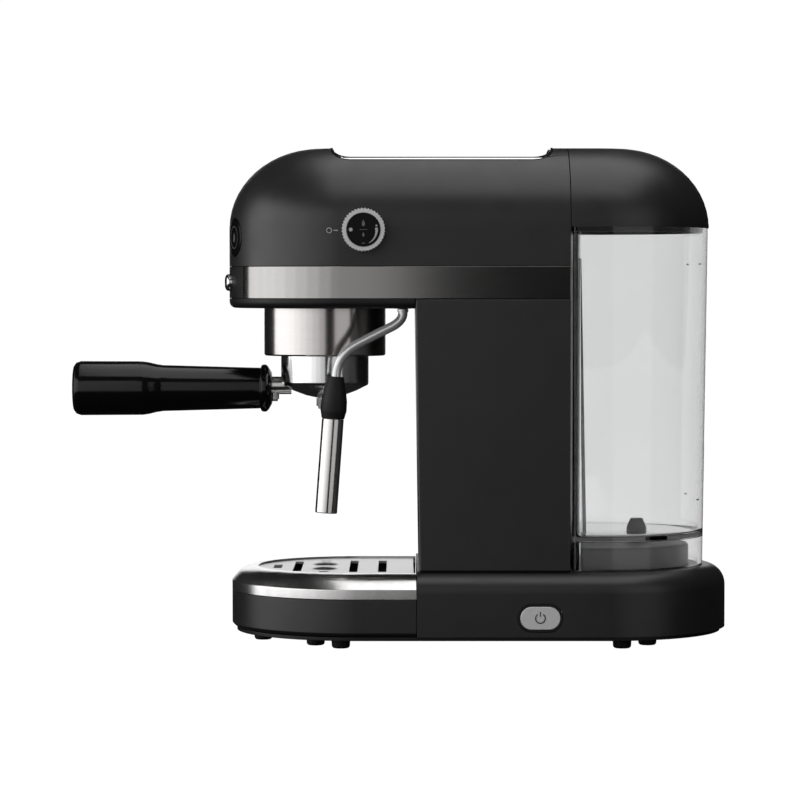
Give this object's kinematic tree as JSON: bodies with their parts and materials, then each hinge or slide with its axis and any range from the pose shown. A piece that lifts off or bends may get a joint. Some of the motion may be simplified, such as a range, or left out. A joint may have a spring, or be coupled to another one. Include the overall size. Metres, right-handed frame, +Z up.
{
  "type": "espresso machine",
  "caption": "Slim espresso machine with a lock-in portafilter, swinging steam wand, sliding round-front drip tray and clear rear water tank.",
  "frame": {"origin": "middle of the footprint's box, on the surface the feet stand on", "axes": "+Z up; -X is the front, where the portafilter handle points; -Y is the side with the steam knob and wand"},
  "size_m": [0.4115, 0.162, 0.3104],
  "materials": {
    "shell": "satin black moulded plastic",
    "trim_black": "matt black moulded plastic",
    "grip_black": "smooth black handle plastic",
    "display_black": "gloss black printed face",
    "rubber": "matt black rubber",
    "brushed_steel": "brushed stainless steel",
    "polished_chrome": "polished chrome",
    "satin_chrome": "satin chrome",
    "clear_tank": "clear polycarbonate",
    "grey_plastic": "grey moulded plastic",
    "red_silicone": "red silicone",
    "brass": "turned brass",
    "board_green": "solder-masked board",
    "hose_white": "milky silicone and PTFE tube",
    "cast_aluminium": "cast aluminium"
  },
  "bodies": {
    "machine": {"base_plate": "trim_black", "rubber_feet": "rubber", "base_housing": "shell", "base_screws": "brushed_steel", "tank_seat": "grey_plastic", "tank_seal_ring": "red_silicone", "cord_inlet": "trim_black", "power_bezel": "trim_black", "column_shell": "shell", "head_underplate": "trim_black", "head_frame": "trim_black", "metal_band": "brushed_steel", "front_insert": "trim_black", "head_shell": "shell", "cup_tray": "brushed_steel", "cup_rail": "polished_chrome", "group_collar": "brushed_steel", "brew_head": "cast_aluminium", "group_gasket": "rubber", "shower_screen": "brushed_steel", "boiler": "cast_aluminium", "boiler_bolts": "brushed_steel", "pump": "trim_black", "pump_mounts": "rubber", "control_board": "board_green", "steam_valve": "brass", "suction_hose": "hose_white", "pressure_pipe": "hose_white", "steam_pipe": "hose_white", "wand_socket": "trim_black"},
    "drip_tray": {"drip_tub": "shell", "drip_ring": "satin_chrome", "drip_grate": "brushed_steel"},
    "portafilter": {"portafilter_bowl": "polished_chrome", "filter_basket": "brushed_steel", "handle_neck": "satin_chrome", "handle_grip": "grip_black", "neck_screw": "brushed_steel", "coffee_spout": "polished_chrome"},
    "steam_wand": {"wand_swivel": "polished_chrome", "wand_pipe": "polished_chrome", "wand_grip": "rubber", "wand_sleeve": "brushed_steel", "steam_nozzle": "brushed_steel"},
    "water_tank": {"tank_shell": "clear_tank", "tank_valve": "grey_plastic", "tank_valve_seal": "rubber"},
    "lid": {"tank_lid": "shell"},
    "steam_knob": {"knob_ring": "satin_chrome", "knob_face": "display_black"},
    "power_switch": {"power_button": "satin_chrome"},
    "selector_near": {"selector_disc_near": "display_black"},
    "selector_far": {"selector_disc_far": "display_black"},
    "stud_near": {"chrome_button_near": "polished_chrome"},
    "stud_far": {"chrome_button_far": "polished_chrome"}
  },
  "joints": [
    {"name": "tray_slide", "type": "slide", "parent": "machine", "child": "drip_tray", "axis": [-1, 0, 0], "range_m": [0, 0.12]},
    {"name": "portafilter_turn", "type": "hinge", "parent": "machine", "child": "portafilter", "pos_m": [-0.0468, 0, 0.19], "axis": [0, 0, 1], "range_deg": [-45, 0]},
    {"name": "wand_swivel", "type": "hinge", "parent": "machine", "child": "steam_wand", "pos_m": [0.0024, -0.052, 0.21], "axis": [0, 0, 1], "range_deg": [0, 80]},
    {"name": "tank_lift", "type": "slide", "parent": "machine", "child": "water_tank", "axis": [0, 0, 1], "range_m": [0, 0.08]},
    {"name": "lid_lift", "type": "slide", "parent": "water_tank", "child": "lid", "axis": [0, 0, 1], "range_m": [0, 0.07]},
    {"name": "steam_knob_turn", "type": "hinge", "parent": "machine", "child": "steam_knob", "pos_m": [-0.0216, -0.077, 0.258], "axis": [0, 1, 0], "range_deg": [0, 190]},
    {"name": "power_press", "type": "slide", "parent": "machine", "child": "power_switch", "axis": [0, 1, 0], "range_m": [0, 0.0012], "stiffness_N_per_m": 300, "springref_m": -0.002},
    {"name": "selector_near_press", "type": "slide", "parent": "machine", "child": "selector_near", "axis": [0.9397, 0.342, 0], "range_m": [0, 0.0015], "stiffness_N_per_m": 300, "springref_m": -0.002},
    {"name": "selector_far_press", "type": "slide", "parent": "machine", "child": "selector_far", "axis": [0.9397, -0.342, 0], "range_m": [0, 0.0015], "stiffness_N_per_m": 300, "springref_m": -0.002},
    {"name": "stud_near_press", "type": "slide", "parent": "machine", "child": "stud_near", "axis": [0.9781, 0.2079, 0], "range_m": [0, 0.0015], "stiffness_N_per_m": 300, "springref_m": -0.002},
    {"name": "stud_far_press", "type": "slide", "parent": "machine", "child": "stud_far", "axis": [0.9781, -0.2079, 0], "range_m": [0, 0.0015], "stiffness_N_per_m": 300, "springref_m": -0.002}
  ]
}
